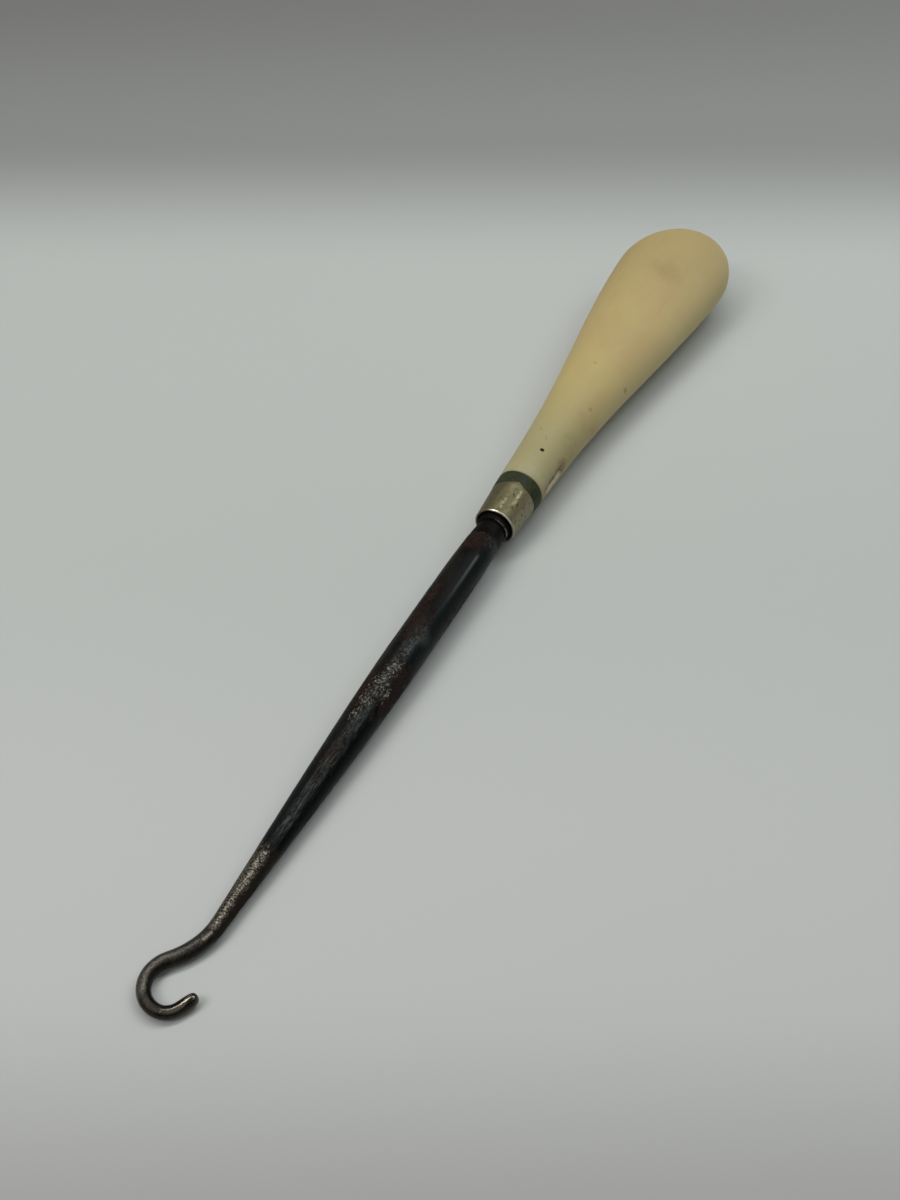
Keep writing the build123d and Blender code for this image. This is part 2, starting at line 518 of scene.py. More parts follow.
painted_light_side = both(painted_light_side, between(along, 80.0, 60.0))
colour = coat(colour, painted_light_side, 0.4, paint(200, 188, 146))
haze_noise = mottle(3.5, detail=5.0)
haze = both(spot_at((69.3, 5.2, 1.7), 0.6, 5.5), between(haze_noise, 0.4, 0.7))
colour = coat(colour, haze, 0.45, paint(158, 130, 90))
olive = both(spot_at((77.3, 4.2, 2.6), 0.5, 3.6), between(haze_noise, 0.35, 0.6))
colour = coat(colour, olive, 0.3, paint(142, 124, 82))
# A faint smudge, rubbed in across the top near the butt.
smudge = between(mottle(5.0, detail=3.0), 0.36, 0.70)
smudge = both(smudge, spot_at((23.4, 2.4, 7.0), 1.0, 7.0))
colour = coat(colour, smudge, 0.32, paint(138, 121, 72))
# Place, size, strength and colour of each speck.
for point, size, strength, dark in (
    ((56.9, 0.5, 5.9), 0.55, 0.40, paint(136, 118, 70)),
    ((56.9, 6.9, 1.3), 0.80, 0.50, paint(126, 104, 62)),
    ((67.8, 4.2, 3.7), 0.60, 0.45, paint(138, 106, 62)),
    ((77.8, -1.3, 4.7), 0.28, 0.75, paint(106, 88, 52)),
    ((79.6, 0.45, 4.75), 0.22, 0.70, paint(98, 84, 56)),
    ((80.1, 0.60, 4.70), 0.20, 0.60, paint(98, 84, 56)),
    ((34.0, -6.0, 4.4), 0.50, 0.30, paint(140, 120, 74)),
    ((44.0, 3.0, -5.6), 0.80, 0.45, paint(128, 104, 62)),
    ((26.5, -3.5, -6.6), 0.90, 0.40, paint(130, 108, 66)),
    ((62.0, -4.6, -2.9), 0.50, 0.50, paint(118, 100, 62)),
):
    speck = share_of(spot_at(point, size * 0.4, size), strength)
    colour = tint(speck, colour, dark)

# Dirt along the crack, and the chip beside it paler than the polished skin.
crack_slope = radians(crack_end[1] - crack_start[1]) / (crack_end[0] - crack_start[0])
crack_origin = radians(crack_start[1]) - crack_slope * crack_start[0]
crack_line = sums("ADD", share_of(along, crack_slope), crack_origin)
for wave, size in crack_waves:
    swing = sums("SINE", share_of(along, wave))
    crack_line = sums("ADD", crack_line, share_of(swing, radians(size)))
crack_gap = share_of(sums("SUBTRACT", turn, crack_line), 4.5)
speckles = mottle(0.45, detail=4.0)
chip = both(between(crack_gap, 0.05, 0.3), between(crack_gap, chip_width, 1.0))
chip_run = gap_to(along, chip_middle)
chip = both(chip, between(chip_run, chip_half_length, 2.2))
crack_stain = between(gap_to(crack_gap, 0.6), 2.5, 0.8)
crack_stain = both(crack_stain, between(along, 80.0, 84.5))
colour = coat(colour, crack_stain, 0.35, paint(140, 116, 90))
colour = coat(colour, chip, 0.85, paint(202, 196, 172))
crack_dirt = between(sums("ABSOLUTE", crack_gap), 0.80, 0.25)
crack_dirt = both(crack_dirt, between(along, crack_start[0], crack_start[0] + 1.2))
crack_dirt = both(crack_dirt, between(along, 89.0, 87.0))
crack_dirt = both(crack_dirt, between(speckles, 0.25, 0.5))
colour = coat(colour, crack_dirt, 0.75, paint(84, 64, 44))
bruise = both(spot_at(tuple(bruise_point), 0.3, 2.3), between(speckles, 0.32, 0.6))
colour = coat(colour, bruise, 0.8, paint(116, 84, 58))
# The inside of the pin hole is painted near black: painted shade.
pin_hole_shade = spot_at(tuple(pin_hole_point), 0.34, 0.46)
colour = tint(pin_hole_shade, colour, paint(14, 10, 6))
joint_dirt = share_of(between(along, handle_length - 0.35, handle_length - 0.02), 0.6)
colour = tint(joint_dirt, colour, paint(104, 92, 62))
feed("Base Color", colour)
wear = mottle(2.2, stretch=(2.5, 1, 1), detail=5.0)
gloss = sums("ADD", ranged(wear, 0.56, 0.70), share_of(chip, 0.15))
feed("Roughness", gloss)
hairlines = mottle(0.16, stretch=(22, 1, 1), detail=2.0)
skin = relief(hairlines, 0.006)
skin = relief(mottle(0.9, detail=3.0), 0.02, skin)
skin = relief(both(chip, speckles), 0.10, skin)
feed("Normal", skin)
shader.inputs["IOR"].default_value = 1.5
shader.inputs["Specular IOR Level"].default_value = 0.35
shader.inputs["Subsurface Weight"].default_value = 0.5
shader.inputs["Subsurface Radius"].default_value = (1.0, 0.85, 0.6)
shader.inputs["Subsurface Scale"].default_value = 3.0 * mm
handle.data.materials.append(ivory)
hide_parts("handle")
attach(handle, "root")

# ---- Band -------------------------------------------------------------------
# A ring of dark green celluloid, slipped over the spigot against the shoulder.
# Its front edge is cut back in a low notch, where the ferrule's peak lies.

band_start = handle_length
band_end = 92.7
band_front_diameter = 8.26
band_bore = spigot_diameter / 2 + 0.04
seam_peak = 0.87
seam_turn = radians(12.5)
seam_spread = radians(17.0)
ring_edge = 0.06


def peak_share(point):
    """How far up the peak's slope a point is, seen from above the seam."""
    round_from_seam = abs(atan2(point.y, point.z) - seam_turn)
    return exp(-min(round_from_seam, 2 * pi - round_from_seam) / seam_spread)


def push_back_peak(piece, is_at_edge, sides):
    """Moves a piece's edge back, vertex by vertex, into the shape of the peak."""
    for number in range(sides):
        mark = 2 * pi * number / sides
        spoke = Vector((0, sin(mark), cos(mark)))

        def on_spoke(point):
            outward = Vector((0, point.y, point.z)).normalized()
            return is_at_edge(point) and (outward - spoke).length < pi / sides * 0.9

        pick(piece, on_spoke)
        bpy.ops.transform.translate(value=(-seam_peak * peak_share(spoke) * mm, 0, 0))


band_rear = neck_diameter / 2
band_front = band_front_diameter / 2
band_rings = [round_ring(band_start + 0.02, band_bore), round_ring(band_start, band_bore + 0.1)]
band_rings += [round_ring(band_start, band_rear - 2 * ring_edge)]
band_rings += [round_ring(band_start + 0.01, band_rear - ring_edge)]
band_rings += [round_ring(band_start + ring_edge * 0.4, band_rear - ring_edge * 0.4)]
band_rings += [round_ring(band_start + ring_edge * 1.2, band_rear)]
for share in (0.08, 0.20, 0.32, 0.44, 0.54, 0.62):
    wall = band_rear + (band_front - band_rear) * share
    band_rings += [round_ring(band_start + (band_end - band_start) * share, wall)]
band_rings += [round_ring(band_end - ring_edge, band_front)]
band_rings += [round_ring(band_end - ring_edge * 0.3, band_front - ring_edge * 0.4)]
band_rings += [round_ring(band_end, band_front - ring_edge * 1.4)]
band_rings += [round_ring(band_end, band_bore + 0.1), round_ring(band_end - 0.05, band_bore)]
band_rings += [round_ring(band_start + 1.4, band_bore), round_ring(band_start + 0.02, band_bore)]
band_sides = 96
band = start_piece("handle_band", band_rings[0], band_sides)
draw_out(band_rings)
push_back_peak(band, lambda point: point.x > band_end - 0.12, band_sides)
leave_edit(radians(50), 1)
sink(band, "turning_waver", 0.02, everywhere, cloudy_grain("turning_waver", 1.4))
lay_down(band)

green, tree, shader = start_finish("green_celluloid")
place = tool_place()
along = step("ShaderNodeSeparateXYZ", {0: place}).outputs[0]
marbling = mottle(2.2, stretch=(0.6, 1, 1), detail=4.0, warp=0.6)
colour = tint(between(marbling, 0.35, 0.68), paint(37, 45, 26), paint(54, 60, 37))
rubbed = share_of(between(mottle(0.5, detail=4.0), 0.55, 0.75), 0.25)
colour = tint(rubbed, colour, paint(80, 84, 60))
rear_joint = between(along, band_start + 0.22, band_start + 0.04)
colour = coat(colour, rear_joint, 0.7, paint(26, 28, 18))
feed("Base Color", colour)
feed("Roughness", ranged(marbling, 0.48, 0.62))
shader.inputs["Specular IOR Level"].default_value = 0.16
skin = relief(mottle(0.25, stretch=(0.3, 2, 2), detail=3.0), 0.008)
feed("Normal", skin)
band.data.materials.append(green)
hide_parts("band")
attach(band, "root")

# ---- Ferrule ----------------------------------------------------------------
# A sleeve of thin brass-toned sheet, drawn to a slight taper, with a beaded
# open mouth and a low peak in its rear edge over the seam. It is pushed on
# over the spigot and dull with age; its bright bead and strips are painted highlights.

ferrule_start = band_end
ferrule_mouth = 99.85
ferrule_run = ferrule_mouth - ferrule_start
ferrule_wall = 0.42
ferrule_rear = 8.2 / 2
ferrule_front = 7.32 / 2
bead_radius = 0.48 / 2
bead_centre = ferrule_front - ferrule_wall / 2


def ferrule_ring(station, depth=0.0):
    """A ring of the sleeve at a station, depth millimetres under its outside."""
    share = (station - ferrule_start) / ferrule_run
    return round_ring(station, ferrule_rear + (ferrule_front - ferrule_rear) * share - depth)


rear_edge = 0.05
ferrule_rings = [ferrule_ring(ferrule_start + 0.02, ferrule_wall)]
ferrule_rings += [ferrule_ring(ferrule_start, ferrule_wall - rear_edge)]
ferrule_rings += [ferrule_ring(ferrule_start, rear_edge * 1.5)]
ferrule_rings += [ferrule_ring(ferrule_start + rear_edge * 0.4, rear_edge * 0.4)]
ferrule_rings += [ferrule_ring(ferrule_start + rear_edge * 1.5)]
for share in (0.03, 0.10, 0.18, 0.26, 0.34, 0.42, 0.50, 0.58, 0.66, 0.74, 0.82, 0.88, 0.92):
    ferrule_rings += [ferrule_ring(ferrule_start + ferrule_run * share)]
for angle in range(132, -133, -22):
    ferrule_rings += [
        round_ring(
            ferrule_mouth + bead_radius * cos(radians(angle)),
            bead_centre + bead_radius * sin(radians(angle)),
        )
    ]
for share in (0.93, 0.75, 0.5, 0.25, 0.05):
    ferrule_rings += [ferrule_ring(ferrule_start + ferrule_run * share, ferrule_wall)]
ferrule_rings += [ferrule_rings[0]]
ferrule_sides = 88
ferrule = start_piece("ferrule_sleeve", ferrule_rings[0], ferrule_sides)
draw_out(ferrule_rings)
push_back_peak(ferrule, lambda point: point.x < ferrule_start + 0.12, ferrule_sides)
leave_edit(radians(50), 2)
sink(ferrule, "sheet_waver", 0.035, everywhere, cloudy_grain("sheet_waver", 2.4))


def dent(station, turn, depth, width, length):
    """A small dent in the sleeve's outside."""
    turned = radians(turn)

    def share(point):
        radius = hypot(point.y, point.z)
        if ferrule_ring(point.x, ferrule_wall / 2)[2] > radius:
            return 0.0
        round_gap = (atan2(point.y, point.z) - turned) * radius
        return exp(-(round_gap / width) ** 2 - ((point.x - station) / length) ** 2)

    sink(ferrule, "dent", depth, share)


# Station, turn, depth, width and length of each dent.
for station, turn, depth, width, length in (
    (95.0, 19.5, 0.08, 0.22, 0.26),
    (96.3, 43.5, 0.10, 0.24, 0.26),
    (97.4, 35.0, 0.05, 0.20, 0.24),
    (98.2, 20.0, 0.05, 0.30, 0.90),
    (96.7, 70.0, 0.05, 0.22, 0.50),
    (95.6, -34.0, 0.05, 0.60, 0.90),
    (94.2, 118.0, 0.08, 0.45, 0.50),
    (97.2, -96.0, 0.07, 0.40, 0.80),
    (96.0, 168.0, 0.08, 0.50, 0.60),
):
    dent(station, turn, depth, width, length)
lay_down(ferrule)

tarnish, tree, shader = start_finish("tarnished_brass")
place = tool_place()
along, aside, turn = bearings()
film = mottle(1.7, stretch=(2.0, 1, 1), detail=5.0, warp=0.5)
blotches = mottle(0.6, detail=5.0, roughness=0.65)
colour = tint(between(film, 0.36, 0.64), paint(104, 99, 72), paint(124, 118, 88))
# The side towards +Y is painted paler: painted light.
ferrule_light_side = between(turn, 0.70, 1.15)
colour = coat(colour, ferrule_light_side, 0.75, paint(160, 154, 128))
browned = between(turn, 0.0, -0.9)
colour = coat(colour, browned, 0.6, paint(116, 108, 86))
stained = share_of(between(blotches, 0.50, 0.66), 0.6)
colour = tint(stained, colour, paint(86, 77, 52))
# Two strips painted lighter as painted highlights, and made less rough.
highlight_strips = None
for middle, start, end, half_turn in ((0.54, 92.9, 97.4, 0.11), (0.07, 96.1, 99.5, 0.17)):
    strip = between(gap_to(turn, middle), half_turn, half_turn * 0.3)
    strip = both(strip, between(along, start, start + 0.8))
    strip = both(strip, between(along, end, end - 0.8))
    highlight_strips = strip if highlight_strips is None else either(highlight_strips, strip)
highlight_strips = both(highlight_strips, between(blotches, 0.60, 0.44))
colour = coat(colour, highlight_strips, 0.5, paint(160, 155, 124))
bead = between(along, ferrule_mouth - 0.23, ferrule_mouth - 0.05)
colour = tint(bead, colour, paint(120, 115, 90))
# The bead's far side and top are painted light and near white: painted highlights. The top is also made less
# rough.
far_bead_highlight = both(bead, between(turn, 1.0, 1.3))
colour = tint(far_bead_highlight, colour, paint(172, 168, 150))
rubbed_bead_highlight = between(gap_to(turn, 0.42), 0.85, 0.45)
rubbed_bead_highlight = both(rubbed_bead_highlight, between(along, ferrule_mouth - 0.03, ferrule_mouth + 0.09))
colour = tint(rubbed_bead_highlight, colour, paint(244, 240, 222))
# Station, turn and size of each pit, where a dent has gone dark.
pits = ((95.0, 19.5, 0.30), (96.3, 43.5, 0.32), (97.4, 35.0, 0.22), (96.7, 70.0, 0.24))
for station, turned, size in pits:
    radius = ferrule_ring(station)[2]
    point = (station, radius * sin(radians(turned)), radius * cos(radians(turned)))
    pit = share_of(spot_at(point, size * 0.35, size), 0.8)
    colour = tint(pit, colour, paint(50, 42, 26))
rear_dirt = share_of(between(along, ferrule_start + 0.25, ferrule_start - 0.1), 0.4)
colour = tint(rear_dirt, colour, paint(62, 56, 36))
feed("Base Color", colour)
shader.inputs["Metallic"].default_value = 0.8
dullness = ranged(film, 0.62, 0.50)
dullness = sums("SUBTRACT", dullness, share_of(highlight_strips, 0.22))
dullness = sums("SUBTRACT", dullness, share_of(rubbed_bead_highlight, 0.30))
feed("Roughness", dullness)
skin = relief(mottle(0.12, stretch=(1, 8, 8), detail=2.0), 0.004)
skin = relief(blotches, 0.02, skin)
feed("Normal", skin)
ferrule.data.materials.append(tarnish)
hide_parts("ferrule")
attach(ferrule, "root")

# ---- Hook -------------------------------------------------------------------
# One steel forging: a square tang hidden in the handle, a bevelled collar in
# the ferrule's mouth, a shank that tapers to a thin stem, and the stem bent
# aside and round into the crook. Blued black, rusted in patches and worn bare.

collar_back = 98.9
collar_radius = ferrule_front - ferrule_wall - 0.34
shank_start = 100.9
# Distance past the ferrule's mouth, and radius, of each ring of the collar.
collar_front = (
    (0.80, 2.90),
    (1.03, 2.88),
    (1.17, 2.82),
    (1.25, 2.71),
    (1.29, 2.57),
    (1.37, 2.45),
    (1.51, 2.44),
    (1.60, 2.53),
)
root_radius = 5.16 / 2
root_slope = 0.07
shank_radius = 6.16 / 2
parallel_start = 117.2
parallel_end = 131.2
mid_taper_radius = 4.8 / 2
mid_taper_slope = 0.041
stem_radius = 2.4 / 2
stem_slope = 0.045
stem_end = 185.1
taper_middle = (parallel_end + stem_end) / 2
tip_radius = 1.8 / 2
aside_radius = 10.3
aside_turn = radians(45.0)
crook_radius = 3.9
crook_turn = radians(135.0)
nose_radius = 2.6
nose_turn = radians(65.0)
tip_run = 1.9


def shank_ring(station):
    """A ring of the shank between the collar and the end of the stem."""
    if station < parallel_start:
        radius = blended(station, shank_start, parallel_start, root_radius, shank_radius, root_slope, 0)
    elif station < parallel_end:
        radius = shank_radius
    elif station < taper_middle:
        radius = blended(
            station, parallel_end, taper_middle, shank_radius, mid_taper_radius, 0, -mid_taper_slope
        )
    else:
        radius = blended(
            station, taper_middle, stem_end, mid_taper_radius, stem_radius, -mid_taper_slope, -stem_slope
        )
    return round_ring(station, radius)


hook_rings = [round_ring(collar_back, 0.9), round_ring(collar_back, collar_radius - 0.1)]
hook_rings += [round_ring(collar_back + 0.1, collar_radius), round_ring(ferrule_mouth - 0.08, collar_radius)]
for ahead, radius in collar_front:
    hook_rings += [round_ring(ferrule_mouth + ahead, radius)]
shank_steps = 96
hook_sides = 36
wire_step = 0.72
neck_start = 101.55
neck_end = 104.9
for number in range(shank_steps + 1):
    hook_rings += [shank_ring(neck_start + (stem_end - neck_start) * number / shank_steps)]
hook = start_piece("hook_steel", hook_rings[0], hook_sides)
draw_out(hook_rings)

wire_run = aside_radius * aside_turn + crook_radius * crook_turn + nose_radius * nose_turn + tip_run
wire_place = Vector((stem_end, 0, 0))
wire_heading = 0.0
wire_done = 0.0
wire_size = stem_radius


def wire_radius(run):
    """The wire's radius after a run through the bends."""
    return stem_radius + (tip_radius - stem_radius) * run / wire_run


bends = ((aside_radius, -aside_turn), (crook_radius, crook_turn), (nose_radius, nose_turn))
bend_centres = []
for bend_radius, bend_turn in bends:
    side = 1 if bend_turn > 0 else -1
    bend_centre = wire_place + Vector((-sin(wire_heading), cos(wire_heading), 0)) * bend_radius * side
    bend_centres.append(bend_centre)
    bend_steps = max(4, round(bend_radius * abs(bend_turn) / wire_step))
    for number in range(bend_steps):
        angle = bend_turn / bend_steps
        bpy.ops.mesh.spin(steps=1, angle=-angle, center=bend_centre * mm, axis=(0, 0, 1))
        wire_heading += angle
        wire_place = bend_centre - Vector((-sin(wire_heading), cos(wire_heading), 0)) * bend_radius * side
        wire_done += bend_radius * abs(angle)
        slimmer = wire_radius(wire_done) / wire_size
        wire_size = wire_radius(wire_done)
        bpy.ops.transform.resize(value=(slimmer, slimmer, slimmer), center_override=wire_place * mm)
tip_heading = Vector((cos(wire_heading), sin(wire_heading), 0))
# How far the tip goes at each step, and its size if it is no longer the wire's.
tip_steps = ((0.63, None), (0.63, None), (0.64, None), (0.31, 0.94), (0.28, 0.77), (0.2, 0.5), (0.09, 0.2))
for forward, size in tip_steps:
    wire_place = wire_place + tip_heading * forward
    wire_done = min(wire_run, wire_done + forward)
    new_size = wire_radius(wire_done) if size is None else tip_radius * size
    bpy.ops.mesh.extrude_region_move(TRANSFORM_OT_translate={"value": tip_heading * forward * mm})
    bpy.ops.transform.resize(value=(new_size / wire_size,) * 3, center_override=wire_place * mm)
    wire_size = new_size
bpy.ops.mesh.merge(type="CENTER")
pick(hook, lambda point: abs(point.x - collar_back) < 0.01 and hypot(point.y, point.z) < 1.0)
bpy.ops.mesh.edge_face_add()
leave_edit(radians(45), 2)

# The square tang is drawn out behind the collar, and tapers to its end.
tang_overlap = 0.3
tang_length = 48.0
tang_root_width = 2.2
tang_end_width = 1.4
bpy.ops.object.mode_set(mode="EDIT")
bpy.ops.mesh.select_all(action="DESELECT")
bpy.ops.mesh.primitive_cube_add(
    size=tang_root_width * mm, location=((collar_back + tang_overlap - tang_root_width / 2) * mm, 0, 0)
)


def at_tang_end(point):
    half = tang_root_width / 2
    corner = abs(abs(point.y) - half) < 0.01 and abs(abs(point.z) - half) < 0.01
    return corner and abs(point.x - (collar_back + tang_overlap - tang_root_width)) < 0.01


pick(hook, at_tang_end)
bpy.ops.transform.translate(value=((tang_root_width - tang_overlap - tang_length) * mm, 0, 0))
tang_shrink = tang_end_width / tang_root_width
bpy.ops.transform.resize(
    value=(1, tang_shrink, tang_shrink), center_override=((collar_back - tang_length) * mm, 0, 0)
)
bpy.ops.object.mode_set(mode="OBJECT")


def shank_only(point):
    """The forging outside the ferrule, where hammer, rust and wear have been."""
    return 1.0 if point.x > shank_start + 0.2 else 0.0


def near(point, station, turn, length, width):
    """A soft patch on the shank, round a station and a turn."""
    gap = turn_of(point) - turn
    gap = (gap + 180) % 360 - 180
    round_gap = radians(gap) * hypot(point.y, point.z)
    return exp(-((point.x - station) / length) ** 2 - (round_gap / width) ** 2)


# Station, turn, length and width of each patch.
rust_patches = (
    (106.8, -10.0, 2.3, 2.2),
    (121.0, -24.0, 2.6, 1.0),
    (127.7, -5.0, 3.6, 1.6),
    (141.0, 58.0, 4.6, 1.9),
    (143.2, -14.0, 4.6, 1.7),
    (139.0, 20.0, 3.6, 1.5),
    (156.0, 3.0, 3.6, 0.9),
    (120.0, 160.0, 7.0, 3.0),
    (150.0, -130.0, 8.0, 2.4),
    (166.0, 150.0, 5.0, 1.6),
    (182.0, 78.0, 4.4, 1.0),
)
glint_patches = (
    (137.6, 17.0, 2.4, 1.2),
    (141.0, 11.0, 2.6, 1.5),
    (142.5, 46.0, 2.0, 0.5),
    (144.6, 3.0, 2.4, 1.2),
    (147.8, -3.0, 1.8, 0.8),
)


def rust_share(point):
    """The rust patches, between the neck and the end of the stem."""
    if point.x < neck_end or point.x > stem_end:
        return 0.0
    return min(1.0, sum(near(point, *patch) for patch in rust_patches))


def bare_share(point):
    """Fine pits in the bare steel of the stem, and fewer in the crook."""
    if point.x >= stem_end + 4:
        return 0.4
    return max(0.0, min(1.0, (point.x - 172.0) / 4.0))


def neck_share(point):
    """The smooth neck lies a little under the crust that starts past it."""
    return 1.0 if shank_start < point.x < neck_end + 0.35 * sin(turn_of(point) * 0.09) else 0.0


sink(hook, "hammer_waver", 0.05, shank_only, cloudy_grain("hammer_waver", 3.2))
sink(hook, "neck", 0.05, neck_share)
sink(hook, "rust_pits", 0.12, rust_share, cloudy_grain("rust_pits", 0.5, 2))
sink(hook, "bare_pits", 0.04, bare_share, cloudy_grain("bare_pits", 0.38, 2))
lay_down(hook)

steel, tree, shader = start_finish("blued_and_rusted_steel")
place = tool_place()
along, aside, turn = bearings()
tones = mottle(2.6, stretch=(2.2, 1, 1), detail=5.0)
fine = mottle(0.26, detail=4.0, roughness=0.7)
grit = between(mottle(0.8, stretch=(1.4, 1, 1), detail=6.0, roughness=0.72), 0.34, 0.66)


def patches(listed):
    """1 in the middle of each listed patch, fading to 0 round it."""
    cover = None
    for station, turned, length, width in listed:
        radius = shank_ring(min(station, stem_end - 0.1))[2]
        point = (station, radius * sin(radians(turned)), radius * cos(radians(turned)))
        away = vector_step("SUBTRACT", place, point).outputs[0]
        away = vector_step("MULTIPLY", away, (1 / length, 1 / width, 1 / width)).outputs[0]
        away = vector_step("LENGTH", away).outputs["Value"]
        patch = between(away, 2.0, 0.2)
        cover = patch if cover is None else either(cover, patch)
    return cover


# Blued skin: browner on one side; bluer on the other, which is also painted darker as painted shade.
colour = tint(between(tones, 0.35, 0.65), paint(13, 14, 12), paint(23, 24, 22))
colour = coat(colour, between(along, 148.0, 154.0), 0.7, paint(13, 18, 18))
blue_shaded_side = both(between(turn, 0.25, 0.65), between(turn, 2.2, 1.4))
blue = tint(between(along, 130.0, 150.0), paint(21, 26, 27), paint(4, 7, 7))
colour = coat(colour, blue_shaded_side, 0.8, blue)
brown_side = both(between(turn, 0.15, -0.35), between(tones, 0.42, 0.58))
brown_side = both(brown_side, between(along, 155.0, 148.0))
colour = coat(colour, brown_side, 0.6, paint(31, 25, 20))
specks = between(mottle(0.24, detail=3.0, roughness=0.8), 0.58, 0.70)
colour = coat(colour, specks, 0.5, paint(66, 64, 60))
# Beside the sheen the skin is painted darker: painted shade. The sheen itself is a painted highlight.
shade_beside_sheen = between(gap_to(turn, 0.36), 0.36, 0.14)
shade_beside_sheen = both(shade_beside_sheen, between(along, 130.0, 122.0))
colour = coat(colour, shade_beside_sheen, 0.6, paint(5, 7, 6))
sheen = between(gap_to(turn, 0.60), 0.13, 0.02)
sheen = both(sheen, between(along, 109.4, 110.6))
sheen = both(sheen, between(along, 126.0, 110.0))
sheen_end = share_of(spot_at((130.0, 1.8, 2.5), 0.2, 2.2), 0.35)
sheen = either(share_of(sheen, 0.7), sheen_end)
colour = tint(sheen, colour, paint(84, 90, 84))

# Ragged rust, with bare glints where the rust has flaked.
rust = sums("ADD", share_of(patches(rust_patches), 1.1), share_of(grit, 0.9))
rust = between(rust, 0.92, 1.08)
rust_colour = tint(between(fine, 0.42, 0.60), paint(26, 20, 17), paint(50, 38, 31))
redness = share_of(between(mottle(1.3, detail=4.0), 0.52, 0.66), 0.7)
redness = both(redness, between(along, 150.0, 128.0))
rust_colour = tint(redness, rust_colour, paint(60, 36, 27))
colour = coat(colour, rust, 0.9, rust_colour)
glint_cover = patches(glint_patches)
glint_grain = mottle(0.42, stretch=(1.2, 1, 1), detail=4.0, roughness=0.75)
flaked = both(glint_cover, between(glint_grain, 0.52, 0.44))
colour = coat(colour, flaked, 0.9, paint(17, 12, 9))
glints = sums("ADD", share_of(glint_cover, 0.22), glint_grain)
glints = between(glints, 0.71, 0.79)
colour = coat(colour, glints, 0.9, paint(154, 149, 140))
# A scaly strip along the top is painted grey and made metallic: a painted highlight.
highlight_line = between(gap_to(turn, 0.27), 0.52, 0.12)
highlight_run = both(between(along, 124.0, 132.0), between(along, 175.0, 168.0))
highlight_line = both(highlight_line, highlight_run)
scales = mottle(0.36, stretch=(1.8, 1, 1), detail=5.0, roughness=0.7)
highlight_line = both(highlight_line, between(scales, 0.36, 0.64))
drawn_out = between(along, 146.0, 152.0)
highlight_line = both(highlight_line, ranged(drawn_out, 1.0, 0.55))
colour = coat(colour, highlight_line, 0.7, paint(72, 75, 74))
# Towards the stem the painted highlight is drawn out in thin bright streaks.
highlight_streaks = between(mottle(0.20, stretch=(12, 1, 1), detail=3.0), 0.52, 0.64)
highlight_streaks = both(highlight_streaks, drawn_out)
highlight_streaks = both(highlight_streaks, between(gap_to(turn, 0.30), 0.60, 0.20))
highlight_streaks = share_of(both(highlight_streaks, highlight_run), 0.5)
colour = tint(highlight_streaks, colour, paint(88, 92, 90))

# The stem is worn bare along its top, in fine specks, and brown at its side.
bare_edge = sums("ADD", along, share_of(grit, 3.0))
bare_start = 174.6
crook_start = 186.4
bare = both(between(bare_edge, bare_start, bare_start + 1.8), between(along, 187.2, 186.2))
top_of_stem = sums("ABSOLUTE", sums("ADD", turn, share_of(grit, 0.3)))
bare = both(bare, between(top_of_stem, 0.98, 0.40))
bare_grain = between(mottle(0.27, detail=3.0, roughness=0.8), 0.44, 0.60)
bare_colour = tint(bare_grain, paint(38, 34, 30), paint(128, 123, 111))
# Along the top line the bare steel is painted lighter: a painted highlight.
ridge_highlight = both(between(gap_to(turn, 0.06), 0.36, 0.06), bare_grain)
bare_colour = coat(bare_colour, ridge_highlight, 0.6, paint(168, 162, 148))
stem_dark = between(bare_edge, bare_start - 1.4, bare_start + 0.8)
colour = coat(colour, stem_dark, 0.7, paint(38, 32, 26))
colour = tint(bare, colour, bare_colour)
crook_part = between(along, crook_start, crook_start + 2.2)
crook_colour = tint(between(fine, 0.38, 0.62), paint(54, 51, 47), paint(88, 84, 78))
outer_bend = both(between(along, 190.0, 193.0), between(fine, 0.34, 0.56))
crook_colour = coat(crook_colour, outer_bend, 0.8, paint(98, 94, 86))
# The foot of the crook is dark, and a line along the nose is painted bright: a painted highlight.
foot = both(between(aside, -3.3, -2.4), between(along, 195.6, 196.6))
crook_colour = coat(crook_colour, foot, 0.8, paint(34, 31, 27))
across = vector_step("MULTIPLY", place, (1, 1, 0)).outputs[0]
bend_gaps = []
for bend_centre in bend_centres:
    bend_gaps += [vector_step("DISTANCE", across, bend_centre).outputs["Value"]]
nose_highlight = gap_to(bend_gaps[2], nose_radius + 0.30)
nose_highlight = both(between(nose_highlight, 0.38, 0.10), between(aside, 0.1, 2.0))
crook_colour = coat(crook_colour, nose_highlight, 0.9, paint(150, 143, 127))
# One side of the bends, and the inside of the crook, are painted almost black: painted shade.
shaded_side = between(bend_gaps[0], aside_radius + 0.55, aside_radius + 1.05)
shaded_side = both(shaded_side, between(along, 193.6, 192.4))
crook_gap = sums("ADD", bend_gaps[1], share_of(between(along, 195.2, 193.0), 0.35))
crook_inside_shade = between(crook_gap, crook_radius - 0.15, crook_radius - 0.7)
crook_inside_shade = both(crook_inside_shade, between(aside, 0.2, -0.6))
shaded_side = either(shaded_side, crook_inside_shade)
crook_colour = coat(crook_colour, shaded_side, 0.85, paint(18, 16, 13))
colour = tint(crook_part, colour, crook_colour)
# A short line at the start of the bend is painted bright: a painted highlight.
bend_highlight = None
for point in ((187.2, 0.27, 1.1), (187.6, 0.17, 1.1), (188.0, 0.07, 1.1), (188.4, -0.03, 1.1)):
    highlight_spot = spot_at(point, 0.05, 0.36)
    bend_highlight = highlight_spot if bend_highlight is None else either(bend_highlight, highlight_spot)
colour = coat(colour, bend_highlight, 0.9, paint(158, 148, 138))

